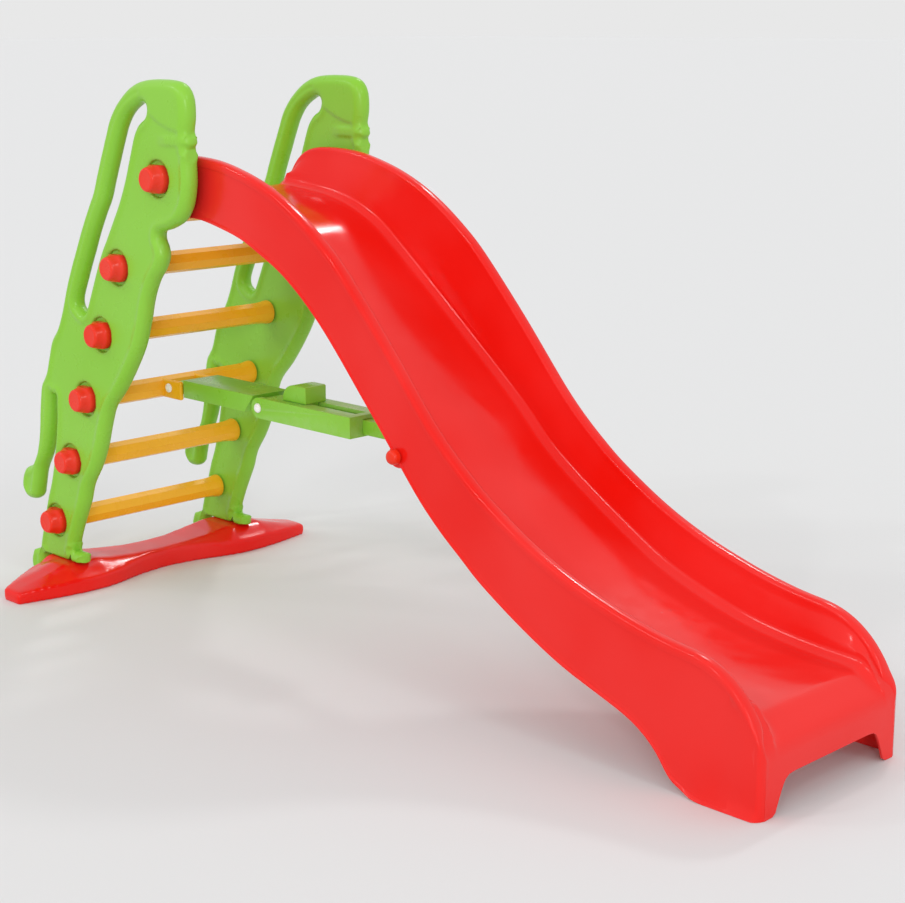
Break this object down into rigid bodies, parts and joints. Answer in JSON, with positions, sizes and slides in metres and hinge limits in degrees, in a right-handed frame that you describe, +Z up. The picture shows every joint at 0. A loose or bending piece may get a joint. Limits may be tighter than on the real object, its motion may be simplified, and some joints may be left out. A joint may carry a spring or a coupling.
{
  "type": "toddler slide",
  "caption": "Folding toddler slide: moulded side panels with handrails, rungs, a curved chute on pivot knobs and a folding slotted brace.",
  "frame": {"origin": "centre of the footprint on the ground, midway between the handrail's tail tips and the chute's exit", "axes": "+X towards the chute's exit, +Y across the slide, +Z up"},
  "size_m": [2.1203, 0.852, 1.1726],
  "materials": {
    "green_plastic": "satin moulded polyethylene",
    "red_plastic": "glossy moulded polyethylene",
    "knob_plastic": "glossy moulded",
    "orange_plastic": "satin moulded",
    "white_plastic": "smooth moulded",
    "steel": "zinc plated"
  },
  "bodies": {
    "ladder": {"side_panel_near": "green_plastic", "side_panel_far": "green_plastic", "rung_1": "orange_plastic", "rung_2": "orange_plastic", "rung_3": "orange_plastic", "rung_4": "orange_plastic", "rung_5": "orange_plastic", "top_rung": "orange_plastic", "knob_near_1": "knob_plastic", "knob_near_2": "knob_plastic", "knob_near_3": "knob_plastic", "knob_near_4": "knob_plastic", "knob_near_5": "knob_plastic", "knob_far_1": "knob_plastic", "knob_far_2": "knob_plastic", "knob_far_3": "knob_plastic", "knob_far_4": "knob_plastic", "knob_far_5": "knob_plastic", "pivot_knob_near": "knob_plastic", "pivot_knob_far": "knob_plastic", "foot_bar": "red_plastic", "foot_bolt_near": "steel", "foot_bolt_far": "steel", "clevis_pin": "white_plastic"},
    "chute_body": {"chute": "red_plastic", "cross_rod": "steel", "rod_cap_near": "knob_plastic", "rod_cap_far": "knob_plastic"},
    "rear_link_body": {"rear_link": "green_plastic", "hinge_pin": "white_plastic"},
    "brace_body": {"brace_channel": "green_plastic", "brace_tongue": "green_plastic"},
    "latch_body": {"latch_slide": "green_plastic"}
  },
  "joints": [
    {"name": "chute_fold", "type": "hinge", "parent": "ladder", "child": "chute_body", "pos_m": [-0.4735, 0, 0.969], "axis": [0, 1, 0], "range_deg": [0, 42]},
    {"name": "rear_link_fold", "type": "hinge", "parent": "ladder", "child": "rear_link_body", "pos_m": [-0.7345, 0, 0.462], "axis": [0, 1, 0], "range_deg": [-38, 0]},
    {"name": "brace_fold", "type": "hinge", "parent": "rear_link_body", "child": "brace_body", "pos_m": [-0.4135, 0, 0.461], "axis": [0, 1, 0], "range_deg": [0, 130.5]},
    {"name": "latch_travel", "type": "slide", "parent": "brace_body", "child": "latch_body", "axis": [1, 0, 0], "range_m": [0, 0.12]}
  ],
  "couplings": [
    {"joint": "rear_link_fold", "follows": "chute_fold", "ratio": -0.9},
    {"joint": "brace_fold", "follows": "chute_fold", "ratio": 3.1}
  ]
}
